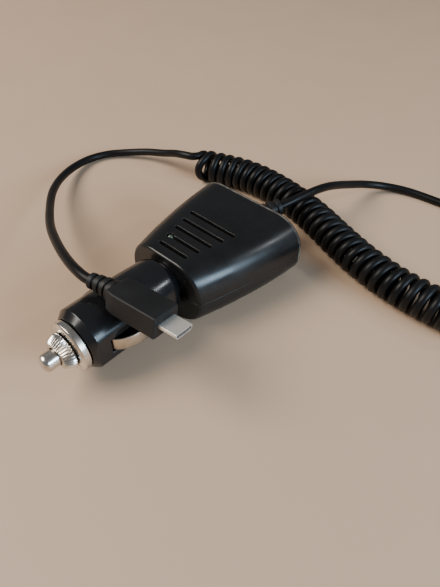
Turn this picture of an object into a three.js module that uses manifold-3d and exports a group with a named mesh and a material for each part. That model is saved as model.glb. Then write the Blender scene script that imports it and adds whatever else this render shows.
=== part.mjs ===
// A 12 V vehicle-socket charger with a curly cord and a straight micro-USB plug.
// Millimetres. +X runs from the centre pin to the cord end, +Z is up, the table is z = 0.
import * as THREE from 'three';
import { mergeVertices } from 'three/addons/utils/BufferGeometryUtils.js';
import Module from 'manifold-3d';

const wasm = await Module();
wasm.setup();

// ---- driving dimensions ----
const LENGTH = 91.3;                 // pin tip to the rear face of the case
const AXIS_Z = 13.2;                 // height of the plug axis
const GAP = 0.3;                     // clearance between neighbouring pieces

const CASE = {
  front: 48.0,                       // stations along X, counted from the pin tip
  rear: LENGTH,
  height: 23.8,
  frontHalf: 15.6,
  rearHalf: 23.8,
  flare: 1.8,                        // how soon the sides spread out
  corner: 10.5,
  wall: 1.8,
  frontEdge: 0.9,
  rearEdge: 0.7,
};
const SLOT = { count: 5, first: 52.5, pitch: 4.55, length: 12.6, growth: 2.08, width: 1.4 };
const LED = { station: SLOT.first + SLOT.pitch, side: 5.9, radius: 0.95 };
const NECK = { radius: 7.4, flange: 8.4, end: 51.6 };

const BARREL_RADIUS = 10.4;
const BARREL_TAIL = [                // the barrel narrows a little towards the neck
  [30, 10.4], [36, 10.3], [41, 10.1], [44.5, 9.9], [45.6, 9.6], [45.9, 9.2],
];
const SIDE_FLAT = 9.2;               // distance of each side flat from the axis
const NOSE = 11.7;                   // station of the barrel's front face
const POCKET = { front: 18.2, open: 36, back: 37.8, half: 2.65, floor: 4.3 };
const FUSE = { start: 16.8, length: 20, radius: 2.6, cap: 2.9, glass: 2.2 };
const BORE = { radius: 3.2, end: 46.7, tail: 1.1 };

const PIN = { radius: 2.8, shoulder: 3.4 };
const NUT = { bore: 3.1, shank: 4.6, end: 16.2, teeth: 36, groove: 0.28 };
const NUT_DOME = [                   // the knurled head, [station, radius] from front to back
  [4.8, 4.2], [5.1, 4.5], [5.9, 5.05], [6.8, 5.5], [7.6, 5.75], [8.3, 5.75], [8.5, 5.45],
];
const RING = { front: 8.8, width: 2.5, radius: 8.43, bore: 4.9 };

const LEAF = { width: 4.6, thickness: 0.5 };
const LEAF_PATH = [
  [18.8, 8.2], [19.8, 9.6], [22.5, 11.4], [26.5, 12.45],
  [30.5, 11.8], [33.5, 10.0], [35.6, 8.2], [37.0, 7.5],
];
const LEAD = { width: 2.0, thickness: 0.5 };
const LEAD_PATH = [[38.1, 7.8], [39.0, 6.6], [40.4, 6.0], [53.0, 6.0]];

const BOARD = { front: 53.6, rear: 86.6, half: 13, bottom: 8.0, thickness: 1.6 };

const CORD = 3.3;                    // cord diameter
const COIL = 13.6;                   // outer diameter of the curly section
const COIL_Z = COIL / 2 + 0.02;

const PLUG = {                       // the micro-USB plug lying across the barrel
  x: -18.3, y: -23.9, z: 27.55,
  yaw: -1.465, roll: -0.19,
  length: 18.8, width: 10.0, height: 7.2,
  shellBack: -2.7, shellFront: 6.3, shellWidth: 6.85, shellHeight: 1.8, shellWall: 0.28,
};

const at = station => station - LENGTH / 2;

// ---- solid helpers ----
function toSolid(geometry) {
  const bare = geometry.clone();
  bare.deleteAttribute('normal');
  bare.deleteAttribute('uv');
  const merged = mergeVertices(bare, 1e-4);
  return new wasm.Manifold(new wasm.Mesh({
    numProp: 3,
    vertProperties: new Float32Array(merged.attributes.position.array),
    triVerts: new Uint32Array(merged.index.array),
  }));
}

function toGeometry(solid) {
  const mesh = solid.getMesh();
  const geometry = new THREE.BufferGeometry();
  geometry.setAttribute('position', new THREE.BufferAttribute(mesh.vertProperties, 3));
  geometry.setIndex(new THREE.BufferAttribute(mesh.triVerts, 1));
  geometry.computeVertexNormals();
  return geometry;
}

function cut(base, tools) {
  let solid = toSolid(base);
  for (const tool of tools) {
    solid = solid.subtract(toSolid(tool));
  }
  return toGeometry(solid);
}

function join(parts) {
  let solid = toSolid(parts[0]);
  for (const part of parts.slice(1)) {
    solid = solid.add(toSolid(part));
  }
  return toGeometry(solid);
}

// A closed skin over equal-length rings of points, with a flat cap on each end.
function loft(rings) {
  const count = rings[0].length;
  const positions = [];
  const index = [];
  for (const ring of rings) {
    for (const point of ring) {
      positions.push(point.x, point.y, point.z);
    }
  }
  for (let r = 0; r < rings.length - 1; r += 1) {
    for (let i = 0; i < count; i += 1) {
      const a = r * count + i;
      const b = r * count + ((i + 1) % count);
      index.push(a, b, b + count);
      index.push(a, b + count, a + count);
    }
  }
  for (const end of [0, rings.length - 1]) {
    const middle = positions.length / 3;
    const centre = new THREE.Vector3();
    rings[end].forEach(point => centre.add(point));
    centre.divideScalar(count);
    positions.push(centre.x, centre.y, centre.z);
    for (let i = 0; i < count; i += 1) {
      const a = end * count + i;
      const b = end * count + ((i + 1) % count);
      index.push(...(end === 0 ? [middle, b, a] : [middle, a, b]));
    }
  }
  const geometry = new THREE.BufferGeometry();
  geometry.setAttribute('position', new THREE.Float32BufferAttribute(positions, 3));
  geometry.setIndex(index);
  geometry.computeVertexNormals();
  return geometry;
}

// A piece turned about the plug axis; the profile is [station, radius] from axis to axis.
function turned(profile, segments = 40) {
  const points = profile.map(([station, radius]) => new THREE.Vector2(radius, at(station)));
  const geometry = new THREE.LatheGeometry(points, segments);
  geometry.rotateZ(-Math.PI / 2);
  geometry.translate(0, 0, AXIS_Z);
  return geometry;
}

function box(x0, x1, y0, y1, z0, z1) {
  const geometry = new THREE.BoxGeometry(x1 - x0, y1 - y0, z1 - z0);
  geometry.translate((x0 + x1) / 2, (y0 + y1) / 2, (z0 + z1) / 2);
  return geometry;
}

function post(x, y, z0, z1, radius, segments = 16) {
  const geometry = new THREE.CylinderGeometry(radius, radius, z1 - z0, segments);
  geometry.rotateX(Math.PI / 2);
  geometry.translate(x, y, (z0 + z1) / 2);
  return geometry;
}

// A round tube of one diameter swept along a smooth path.
function tube(points, diameter, sides, steps) {
  const path = new THREE.CatmullRomCurve3(points.map(p => new THREE.Vector3(...p)), false, 'centripetal');
  const corners = [];
  for (let i = 0; i < sides; i += 1) {
    const angle = (2 * Math.PI * i) / sides;
    corners.push(new THREE.Vector2(Math.cos(angle), Math.sin(angle)).multiplyScalar(diameter / 2));
  }
  return new THREE.ExtrudeGeometry(new THREE.Shape(corners), {
    steps,
    bevelEnabled: false,
    extrudePath: path,
  });
}

// A sleeve of changing radius along a path; the profile is [distance, radius].
function sleeve(points, profile, sides) {
  const path = new THREE.CatmullRomCurve3(points.map(p => new THREE.Vector3(...p)), false, 'centripetal');
  const total = path.getLength();
  const up = new THREE.Vector3(0, 0, 1);
  const rings = profile.map(([distance, radius]) => {
    const u = Math.min(distance / total, 1);
    const centre = path.getPointAt(u);
    const along = path.getTangentAt(u);
    const across = new THREE.Vector3().crossVectors(up, along).normalize();
    const rise = new THREE.Vector3().crossVectors(along, across);
    const ring = [];
    for (let i = 0; i < sides; i += 1) {
      const angle = (2 * Math.PI * i) / sides;
      ring.push(centre.clone()
        .addScaledVector(across, radius * Math.cos(angle))
        .addScaledVector(rise, radius * Math.sin(angle)));
    }
    return ring;
  });
  return loft(rings);
}

// A flat strip bent along [station, distance from axis], on the +Y side or mirrored to -Y.
function strip(path, width, thickness, side) {
  const rings = path.map(([station, distance], i) => {
    const [s0, d0] = path[Math.max(i - 1, 0)];
    const [s1, d1] = path[Math.min(i + 1, path.length - 1)];
    const run = new THREE.Vector2(s1 - s0, d1 - d0).normalize().multiplyScalar(thickness / 2);
    const outer = [at(station) - run.y, side * (distance + run.x)];
    const inner = [at(station) + run.y, side * (distance - run.x)];
    const low = AXIS_Z - width / 2;
    const high = AXIS_Z + width / 2;
    const ring = [
      new THREE.Vector3(inner[0], inner[1], low),
      new THREE.Vector3(outer[0], outer[1], low),
      new THREE.Vector3(outer[0], outer[1], high),
      new THREE.Vector3(inner[0], inner[1], high),
    ];
    return side > 0 ? ring : ring.reverse();
  });
  return loft(rings);
}

// ---- the case ----
function caseHalfWidth(station) {
  const u = 0.9 * THREE.MathUtils.clamp((station - CASE.front) / (CASE.rear - CASE.front), 0, 1);
  return CASE.frontHalf + (CASE.rearHalf - CASE.frontHalf) * (1 - (1 - u) ** CASE.flare);
}

function caseRing(station, inset, x) {
  const half = caseHalfWidth(station) - inset;
  const corner = CASE.corner - inset;
  const middle = CASE.height / 2;
  const rise = middle - inset - corner;
  const reach = half - corner;
  const ring = [];
  for (const [sy, sz, start] of [[1, 1, 0], [-1, 1, 1], [-1, -1, 2], [1, -1, 3]]) {
    for (let i = 0; i <= 7; i += 1) {
      const angle = (Math.PI / 2) * (start + i / 7);
      const y = sy * reach + corner * Math.cos(angle);
      const z = middle + sz * rise + corner * Math.sin(angle);
      ring.push(new THREE.Vector3(at(x), y, z));
    }
  }
  return ring;
}

function caseSkin(inset, front, rear, frontEdge, rearEdge) {
  const rings = [caseRing(front, inset + frontEdge, front)];
  if (frontEdge > 0) {
    rings.push(caseRing(front, inset + 0.3 * frontEdge, front + 0.3 * frontEdge));
  }
  const start = front + frontEdge;
  const end = rear - rearEdge;
  const steps = 9;
  for (let i = frontEdge > 0 ? 0 : 1; i <= steps; i += 1) {
    const station = start + ((end - start) * i) / steps;
    rings.push(caseRing(station, inset, station));
  }
  if (rearEdge > 0) {
    rings.push(caseRing(rear, inset + 0.3 * rearEdge, rear - 0.3 * rearEdge));
    rings.push(caseRing(rear, inset + rearEdge, rear));
  }
  return loft(rings);
}

function shellHalf(z0, z1, extraCuts) {
  const skin = toSolid(caseSkin(0, CASE.front, CASE.rear, CASE.frontEdge, CASE.rearEdge));
  const hollow = toSolid(caseSkin(CASE.wall, CASE.front + CASE.wall, CASE.rear - CASE.wall, 0, 0));
  const keep = toSolid(box(-60, 60, -30, 30, z0, z1));
  let shell = skin.subtract(hollow).intersect(keep);
  const neckHole = turned([[45, 0], [45, NECK.radius + GAP], [52, NECK.radius + GAP], [52, 0]]);
  const cordHole = turned([[86, 0], [86, 4.1], [93, 4.1], [93, 0]], 24);
  for (const tool of [neckHole, cordHole, ...extraCuts]) {
    shell = shell.subtract(toSolid(tool));
  }
  return shell;
}

function caseTop() {
  const cuts = [post(at(LED.station), LED.side, 20, 26, LED.radius + 0.2)];
  for (let i = 0; i < SLOT.count; i += 1) {
    const x = at(SLOT.first + SLOT.pitch * i);
    const half = (SLOT.length + SLOT.growth * i) / 2;
    cuts.push(box(x - SLOT.width / 2, x + SLOT.width / 2, -half, half, 20, 26));
  }
  return toGeometry(shellHalf(CASE.height / 2 + GAP / 2, 30, cuts));
}

function caseBottom() {
  let shell = shellHalf(-1, CASE.height / 2 - GAP / 2, []);
  for (const station of [57.5, 82.5]) {
    for (const y of [-10, 10]) {
      shell = shell.add(toSolid(post(at(station), y, 1.2, BOARD.bottom - GAP, 1.6)));
    }
  }
  return toGeometry(shell);
}

// ---- barrel and nose ----
function barrel() {
  const body = turned([
    [NOSE, 0], [NOSE, 8.5], [12.0, 8.8], [14.0, BARREL_RADIUS], ...BARREL_TAIL,
    [45.9, NECK.radius], [50.1, NECK.radius], [50.1, NECK.flange], [NECK.end, NECK.flange],
    [NECK.end, 0],
  ], 56);
  const seat = turned([[10, 0], [10, 6.9], [16.9, 6.9], [16.9, 0]], 32);
  const bore = turned([[16, 0], [16, BORE.radius], [BORE.end, BORE.radius], [BORE.end, 0]], 24);
  const tailHole = turned([[46, 0], [46, BORE.tail], [53, BORE.tail], [53, 0]], 16);
  const tools = [seat, bore, tailHole];
  for (const side of [-1, 1]) {
    const span = (near, far) => (side > 0 ? [near, far] : [-far, -near]);
    const slab = (s0, s1, near, far, half) => {
      const [y0, y1] = span(near, far);
      return box(at(s0), at(s1), y0, y1, AXIS_Z - half, AXIS_Z + half);
    };
    tools.push(slab(11, 35.4, SIDE_FLAT, 14, 8));
    tools.push(slab(POCKET.front, POCKET.open, POCKET.floor, 14, POCKET.half));
    tools.push(slab(POCKET.open - 0.1, POCKET.back, POCKET.floor, 8.8, POCKET.half));
    tools.push(slab(POCKET.back - 0.1, 40.9, 5.3, 8.6, 1.35));
    tools.push(slab(40.8, 52, 5.3, 6.7, 1.35));
  }
  return cut(body, tools);
}

function noseRing() {
  const rear = RING.front + RING.width;
  return turned([
    [RING.front, RING.bore], [RING.front, RING.radius - 0.9],
    [RING.front + 0.6, RING.radius], [rear - 0.2, RING.radius],
    [rear, RING.radius - 0.2], [rear, RING.bore], [RING.front, RING.bore],
  ], 56);
}

function noseNut() {
  const front = NUT_DOME[0][0];
  const back = NUT_DOME[NUT_DOME.length - 1][0];
  const blank = turned([
    [front, NUT.bore], ...NUT_DOME, [back, NUT.shank], [NUT.end, NUT.shank],
    [NUT.end, 3.7], [10.5, 3.7], [10.5, NUT.bore], [front, NUT.bore],
  ], 72);
  const grooves = [];
  for (let i = 0; i < NUT.teeth; i += 1) {
    const groove = knurlGroove(front, back);
    groove.rotateX((2 * Math.PI * i) / NUT.teeth);
    groove.translate(0, 0, AXIS_Z);
    grooves.push(groove);
  }
  return cut(blank, grooves);
}

// A V-shaped cutter that follows the dome, above the plug axis.
function knurlGroove(front, back) {
  const stations = [[front - 0.2, NUT_DOME[0][1] - 0.2], ...NUT_DOME.slice(0, -1), [back + 0.1, 5.7]];
  return loft(stations.map(([station, radius]) => [
    new THREE.Vector3(at(station), 0, radius - NUT.groove),
    new THREE.Vector3(at(station), 0.45, radius + 0.3),
    new THREE.Vector3(at(station), -0.45, radius + 0.3),
  ]));
}

function threadedInsert() {
  return turned([
    [12.0, 4.9], [12.0, 6.6], [16.6, 6.6], [16.6, 4.9], [12.0, 4.9],
  ], 32);
}

function contactPin() {
  return turned([
    [0, 0], [0, 1.3], [0.25, 1.85], [0.9, 2.35], [1.7, PIN.radius], [10.8, PIN.radius],
    [10.8, PIN.shoulder], [12.8, PIN.shoulder], [12.8, 2.0], [16.5, 2.0], [16.5, 0],
  ], 32);
}

// ---- fuse and spring ----
function fuseCap(start) {
  const end = start + FUSE.cap;
  return turned([[start, 0], [start, FUSE.radius], [end, FUSE.radius], [end, 0]], 20);
}

function fuseGlass() {
  const start = FUSE.start + FUSE.cap + GAP;
  const end = FUSE.start + FUSE.length - FUSE.cap - GAP;
  return turned([[start, 0], [start, FUSE.glass], [end, FUSE.glass], [end, 0]], 20);
}

function contactSpring() {
  const points = [];
  const turns = 5;
  for (let i = 0; i <= turns * 12; i += 1) {
    const angle = (2 * Math.PI * i) / 12;
    const x = at(37.5 + (7.9 * i) / (turns * 12));
    points.push([x, 2.45 * Math.cos(angle), AXIS_Z + 2.45 * Math.sin(angle)]);
  }
  return tube(points, 0.6, 6, turns * 12);
}

function springSeat() {
  return turned([
    [45.85, 0], [45.85, 2.9], [46.35, 2.9], [46.35, 0.8], [53.0, 0.8], [53.0, 0],
  ], 20);
}

// ---- circuit board and its parts ----
const TOP_OF_BOARD = BOARD.bottom + BOARD.thickness + GAP;

function circuitBoard() {
  const x0 = at(BOARD.front);
  const x1 = at(BOARD.rear);
  return box(x0, x1, -BOARD.half, BOARD.half, BOARD.bottom, BOARD.bottom + BOARD.thickness);
}

function inductor() {
  const x = at(75);
  return join([
    post(x, 5.5, TOP_OF_BOARD, TOP_OF_BOARD + 1.4, 5.2, 28),
    post(x, 5.5, TOP_OF_BOARD + 1.2, TOP_OF_BOARD + 6.2, 4.1, 28),
    post(x, 5.5, TOP_OF_BOARD + 6.0, TOP_OF_BOARD + 7.4, 5.2, 28),
  ]);
}

function converterChip() {
  return box(at(63), at(68), 1.5, 6.5, TOP_OF_BOARD, TOP_OF_BOARD + 1.6);
}

function diode() {
  const geometry = new THREE.CylinderGeometry(1.35, 1.35, 5.2, 16);
  geometry.translate(at(82.5), -6.5, TOP_OF_BOARD + 1.35);
  return geometry;
}

function led() {
  const x = at(LED.station);
  return join([
    post(x, LED.side, 18.6, 21.4, 1.5, 20),
    post(x, LED.side, 21.2, 22.9, LED.radius, 20),
    closedDome(x, LED.side, 22.8, LED.radius),
    post(x, LED.side - 0.8, TOP_OF_BOARD, 18.8, 0.25, 8),
    post(x, LED.side + 0.8, TOP_OF_BOARD, 18.8, 0.25, 8),
  ]);
}

function closedDome(x, y, z, radius) {
  const points = [new THREE.Vector2(0, 0)];
  for (let i = 0; i <= 6; i += 1) {
    const angle = (Math.PI / 2) * (i / 6);
    points.push(new THREE.Vector2(i === 6 ? 0 : radius * Math.cos(angle), radius * Math.sin(angle)));
  }
  const geometry = new THREE.LatheGeometry(points, 20);
  geometry.rotateX(Math.PI / 2);
  geometry.translate(x, y, z);
  return geometry;
}

// ---- cord ----
const CASE_RELIEF_PATH = [
  [at(87.4), 0, AXIS_Z], [at(92.5), 0, AXIS_Z], [at(99.5), -1.4, 13.9], [at(106.2), -4.4, 15.1],
];

const CASE_CORD_PATH = [
  [60.9, -4.55, 15.2], [65, -6.0, 15.9], [70, -7.2, 16.1], [76.5, -8.4, 15.8],
  [83, -9.1, 14.4], [89.5, -9.8, 12.2], [98, -10.8, 8.8], [107, -12.8, 5.4],
  [114.5, -18, 3.2], [119.6, -26.5, 2.1], [121.6, -38, 1.8], [122, -50, 1.8],
  [119, -63, 1.8], [111, -75, 1.8], [99.5, -84, 2.2], [87.5, -89, 4.0],
  [76.5, -90, 7.4], [67, -87.8, 10.8], [59.4, -86, 11.9],
];

const COIL_PATH = [
  [68.8, 49.5], [72.6, 40], [75.8, 30], [76.9, 20], [75.6, 5], [71.6, -11.5],
  [66.2, -26], [61.6, -40], [58.9, -54], [58.6, -68], [59.6, -83],
].map(([x, y]) => [x, y, COIL_Z]);

const PLUG_CORD_PATH = [
  [68.65, 49.95, 11.75], [66.5, 57.3, 9.6], [65, 67.7, 6.8], [62.7, 78.1, 4.2], [58.3, 86.2, 2.6],
  [51.7, 92.7, 2.0], [43.8, 95.5, 2.0], [33.5, 93.6, 3.2], [22.3, 87.3, 5.5],
  [11.6, 77.4, 8.5], [-0.2, 61.2, 13], [-8.9, 46.5, 17.5], [-14.9, 33, 21.5],
  [-19.5, 20.2, 25], [-21.7, 11.5, 27], [-22.2, 6.0, 27.6],
];

// Ribs and grooves of equal width that taper towards the cord.
function ribbed(start, end, ribs, r0, r1, depth) {
  const profile = [];
  const pitch = (end - start) / ribs;
  for (let i = 0; i < ribs; i += 1) {
    const from = start + pitch * i;
    const radius = r0 + ((r1 - r0) * i) / (ribs - 1);
    profile.push([from, radius], [from + 0.6 * pitch, radius]);
    if (i < ribs - 1) {
      profile.push([from + 0.6 * pitch, radius - depth], [from + pitch, radius - depth]);
    }
  }
  return profile;
}

function caseStrainRelief() {
  const profile = [
    [0, 5.2], [1.8, 5.2], [1.8, 3.7], [4.2, 3.7],
    ...ribbed(4.2, 19.2, 5, 4.2, 3.1, 0.8),
  ];
  return sleeve(CASE_RELIEF_PATH, profile, 16);
}

// ---- micro-USB plug, drawn along its own +X and then laid across the barrel ----
function layPlug(geometry) {
  const turn = new THREE.Matrix4().makeRotationZ(PLUG.yaw);
  const lean = new THREE.Matrix4().makeRotationX(PLUG.roll);
  const place = new THREE.Matrix4().makeTranslation(PLUG.x, PLUG.y, PLUG.z);
  geometry.applyMatrix4(place.multiply(turn).multiply(lean));
  return geometry;
}

function plugBlockRing(x, half, rise, round) {
  const ring = [];
  for (const [sy, sz, start] of [[1, 1, 0], [-1, 1, 1], [-1, -1, 2], [1, -1, 3]]) {
    for (let i = 0; i <= 3; i += 1) {
      const angle = (Math.PI / 2) * (start + i / 3);
      const y = sy * (half - round) + round * Math.cos(angle);
      const z = sz * (rise - round) + round * Math.sin(angle);
      ring.push(new THREE.Vector3(x, y, z));
    }
  }
  return ring;
}

function plugBody() {
  const half = PLUG.width / 2;
  const rise = PLUG.height / 2;
  const block = loft([
    plugBlockRing(-PLUG.length, half - 1.1, rise - 0.6, 0.8),
    plugBlockRing(-PLUG.length + 0.5, half - 0.6, rise - 0.15, 0.8),
    plugBlockRing(-PLUG.length + 2.5, half, rise, 0.7),
    plugBlockRing(-0.5, half, rise, 0.7),
    plugBlockRing(0, half - 0.4, rise - 0.4, 0.7),
  ]);
  const socket = loft([shellOutline(PLUG.shellBack - GAP, -GAP), shellOutline(1, -GAP)]);
  return layPlug(cut(block, [socket]));
}

function shellOutline(x, inset) {
  const half = PLUG.shellWidth / 2 - inset;
  const rise = PLUG.shellHeight / 2 - inset;
  const foot = half - 0.75;
  return [
    [half, -0.1], [half, rise], [-half, rise], [-half, -0.1], [-foot, -rise], [foot, -rise],
  ].map(([y, z]) => new THREE.Vector3(x, y, z));
}

function plugShell() {
  const outside = loft([shellOutline(PLUG.shellBack, 0), shellOutline(PLUG.shellFront, 0)]);
  const inside = loft([
    shellOutline(PLUG.shellBack + 0.4, PLUG.shellWall),
    shellOutline(PLUG.shellFront + 1, PLUG.shellWall),
  ]);
  return layPlug(cut(outside, [inside]));
}

function plugTongue() {
  return layPlug(box(PLUG.shellBack + 0.7, 5.4, -1.9, 1.9, -0.12, 0.34));
}

function plugStrainRelief() {
  const back = -PLUG.length - GAP;
  const start = layPlug(new THREE.BufferGeometry().setFromPoints([
    new THREE.Vector3(back, 0, 0),
    new THREE.Vector3(back - 4, 0, 0),
  ])).attributes.position;
  const path = [
    [start.getX(0), start.getY(0), start.getZ(0)],
    [start.getX(1), start.getY(1), start.getZ(1)],
    [-22.2, 5.6, 27.6],
  ];
  return sleeve(path, ribbed(0, 10.3, 4, 3.4, 2.5, 0.75), 16);
}

// ---- assembly ----
const FINISH = {
  black_plastic: { color: 0x1c1c1e, roughness: 0.35, metalness: 0 },
  gloss_plastic: { color: 0x131315, roughness: 0.2, metalness: 0 },
  rubber: { color: 0x161618, roughness: 0.55, metalness: 0 },
  nickel: { color: 0xb9b5ac, roughness: 0.3, metalness: 1 },
  brass: { color: 0xb08d4a, roughness: 0.35, metalness: 1 },
  glass: { color: 0xdfe8e8, roughness: 0.05, metalness: 0 },
  board: { color: 0x1f5b34, roughness: 0.5, metalness: 0 },
  led: { color: 0xd8e6d2, roughness: 0.15, metalness: 0 },
};

const charger = new THREE.Group();
charger.name = 'car_charger';

function add(name, finish, geometry) {
  const mesh = new THREE.Mesh(geometry, new THREE.MeshStandardMaterial(FINISH[finish]));
  mesh.name = name;
  charger.add(mesh);
}

add('case_top', 'black_plastic', caseTop());
add('case_bottom', 'black_plastic', caseBottom());
add('barrel', 'gloss_plastic', barrel());
add('nose_ring', 'nickel', noseRing());
add('nose_nut', 'nickel', noseNut());
add('threaded_insert', 'brass', threadedInsert());
add('contact_pin', 'nickel', contactPin());
add('fuse_cap_front', 'nickel', fuseCap(FUSE.start));
add('fuse_glass', 'glass', fuseGlass());
add('fuse_cap_rear', 'nickel', fuseCap(FUSE.start + FUSE.length - FUSE.cap));
add('contact_spring', 'nickel', contactSpring());
add('spring_seat', 'brass', springSeat());
for (const [side, name] of [[1, 'left'], [-1, 'right']]) {
  add(`side_contact_${name}`, 'nickel', strip(LEAF_PATH, LEAF.width, LEAF.thickness, side));
  add(`contact_lead_${name}`, 'brass', strip(LEAD_PATH, LEAD.width, LEAD.thickness, side));
}
add('circuit_board', 'board', circuitBoard());
add('converter_chip', 'black_plastic', converterChip());
add('inductor', 'black_plastic', inductor());
add('capacitor_in', 'black_plastic', post(at(62), -5, TOP_OF_BOARD, 20.9, 4, 24));
add('capacitor_out', 'black_plastic', post(at(73), -7, TOP_OF_BOARD, 18.9, 3.2, 24));
add('diode', 'black_plastic', diode());
add('led', 'led', led());
add('case_strain_relief', 'rubber', caseStrainRelief());
add('case_cord', 'rubber', tube(CASE_CORD_PATH, CORD, 8, 34));
add('curly_cord', 'rubber', tube(COIL_PATH, COIL, 16, 14));
add('plug_cord', 'rubber', tube(PLUG_CORD_PATH, CORD, 8, 30));
add('plug_strain_relief', 'rubber', plugStrainRelief());
add('plug_body', 'rubber', plugBody());
add('plug_shell', 'nickel', plugShell());
add('plug_tongue', 'black_plastic', plugTongue());

export default charger;
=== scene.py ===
"""A 12 V vehicle-socket charger with a curly cord and a micro-USB plug, for Cycles."""
import math

import bmesh
import bpy
from mathutils import Matrix, Vector


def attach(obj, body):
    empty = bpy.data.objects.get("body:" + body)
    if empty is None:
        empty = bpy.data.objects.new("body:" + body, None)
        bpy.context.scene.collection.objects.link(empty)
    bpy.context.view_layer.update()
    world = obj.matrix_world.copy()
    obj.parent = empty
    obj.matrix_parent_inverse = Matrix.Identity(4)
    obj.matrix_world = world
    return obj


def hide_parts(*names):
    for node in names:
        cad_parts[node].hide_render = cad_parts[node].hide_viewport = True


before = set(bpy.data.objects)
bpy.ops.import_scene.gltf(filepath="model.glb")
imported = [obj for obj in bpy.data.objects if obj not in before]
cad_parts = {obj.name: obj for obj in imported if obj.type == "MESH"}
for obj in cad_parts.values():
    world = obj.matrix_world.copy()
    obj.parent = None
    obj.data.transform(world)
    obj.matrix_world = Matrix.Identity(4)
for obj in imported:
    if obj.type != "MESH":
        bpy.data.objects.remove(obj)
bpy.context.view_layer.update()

MM = 0.001

# ---- driving dimensions, in millimetres; stations run along +X from the pin tip ----
LENGTH = 91.3
AXIS_Z = 13.2
CASE_FRONT, CASE_REAR, CASE_HEIGHT = 48.0, 91.3, 23.8
CASE_FRONT_HALF, CASE_REAR_HALF, CASE_FLARE = 15.6, 23.8, 1.8
CASE_FLARE_REACH = 0.9                # how much of the flare's curve is used, as a share
CASE_CORNER, CASE_WALL = 10.5, 1.8
CASE_EDGE_FRONT, CASE_EDGE_REAR = 0.9, 0.7
PAST_CASE = (60, 30)                  # half length and half width of a block wider than the case
BELOW_CASE, ABOVE_CASE = -5, 40
SEAM = 0.07
SLOT_COUNT, SLOT_FIRST, SLOT_PITCH = 5, 52.5, 4.55
SLOT_LENGTH, SLOT_GROWTH, SLOT_WIDTH = 12.6, 2.08, 1.4
SLOT_FLOOR, SLOT_TOP = 19.5, 26       # heights between which the slots and the lamp hole are cut
LED_STATION, LED_SIDE, LED_RADIUS = 57.05, 5.9, 0.95
LED_GAP, LED_FOOT_TOP, LED_SHOULDER = 0.2, 21.4, 22.8
LED_HOLE_FLAT = 0.02                  # the straight bit between the hole's two half circles
NECK_RADIUS, NECK_GAP, BARREL_RADIUS, SIDE_FLAT = 7.4, 0.3, 10.4, 9.2
NECK_HOLE = (45, 52, NECK_RADIUS + NECK_GAP)    # front station, rear station, radius
CORD_HOLE = (88, 93, 4.1)
SEAT = (10, 16.9, 6.9)
BORE = (16, 46.7, 3.2)
KNURL_TEETH = 36
KNURL_WAVE = [0.0, -0.1, -0.3, -0.37, -0.3, -0.1]
PIN_RADIUS, PIN_TIP_FLAT, PIN_DOME = 2.8, 1.15, (1.7, 1.65)
PIN_CORE, LED_CORE = 0.12, 0.02       # the hairline that keeps a turned shape off its own axis
LEAF_WIDTH, LEAF_THICKNESS, LEAF_CROWN = 4.6, 0.5, 0.12
LEAF_PATH = [
    (18.8, 8.2), (19.8, 9.6), (22.5, 11.4), (26.5, 12.45),
    (30.5, 11.8), (33.5, 10.0), (35.6, 8.2), (37.0, 7.5),
]
CORD_RADIUS = 1.65
COIL_RADIUS = 5.15
COIL_Z = 6.82
COIL_PITCH = 4.03
STEPS_PER_TURN = 36
LOOSE_END = [                        # turn, distance back from the path's end, how far drawn in
    (0.25, 8.7, 0), (0.5, 7.6, 0), (0.75, 6.4, 0), (1.0, 5.0, 0),
    (1.25, 2.2, 0), (1.5, 3.5, 0), (1.75, 2.9, 0.3), (2.0, 1.2, 0.6),
]
PLUG_PLACE = (-18.3, -23.9, 27.55)
PLUG_YAW, PLUG_ROLL = -1.465, -0.19
PLUG_LENGTH, PLUG_WIDTH, PLUG_HEIGHT = 18.8, 10.0, 7.2
PLUG_CORNER = 0.6
SHELL_FRONT, SHELL_WIDTH, SHELL_HEIGHT, SHELL_WALL = 6.3, 6.85, 1.8, 0.28
SHELL_CORNER = 0.22


def at(station):
    """X of a station counted from the pin tip."""
    return station - LENGTH / 2


def lay_plug():
    """Places plug coordinates, +X out of the shell, across the barrel."""
    return (Matrix.Translation(Vector(PLUG_PLACE))
            @ Matrix.Rotation(PLUG_YAW, 4, "Z") @ Matrix.Rotation(PLUG_ROLL, 4, "X"))


def behind_plug(back):
    """The point on the plug's own axis that lies this far behind its block."""
    return lay_plug() @ Vector((-PLUG_LENGTH - back, 0, 0))


# ---- camera ----
CAMERA_PLACE = Vector((-81.1, -101.3, 136.3)) * MM
CAMERA_TURN, CAMERA_DROP = math.radians(47.45), math.radians(44.8)
CAMERA_LENS = 33.26


def make_camera():
    """The camera, level with the horizon."""
    data = bpy.data.cameras.new("camera")
    data.sensor_width = 36
    data.lens = CAMERA_LENS
    data.clip_start = 0.005
    camera = bpy.data.objects.new("camera", data)
    bpy.context.scene.collection.objects.link(camera)
    camera.location = CAMERA_PLACE
    look = Vector((
        math.sin(CAMERA_TURN) * math.cos(CAMERA_DROP),
        math.cos(CAMERA_TURN) * math.cos(CAMERA_DROP),
        -math.sin(CAMERA_DROP),
    ))
    camera.rotation_mode = "QUATERNION"
    camera.rotation_quaternion = look.to_track_quat("-Z", "Y")
    bpy.context.scene.camera = camera


make_camera()


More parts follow.
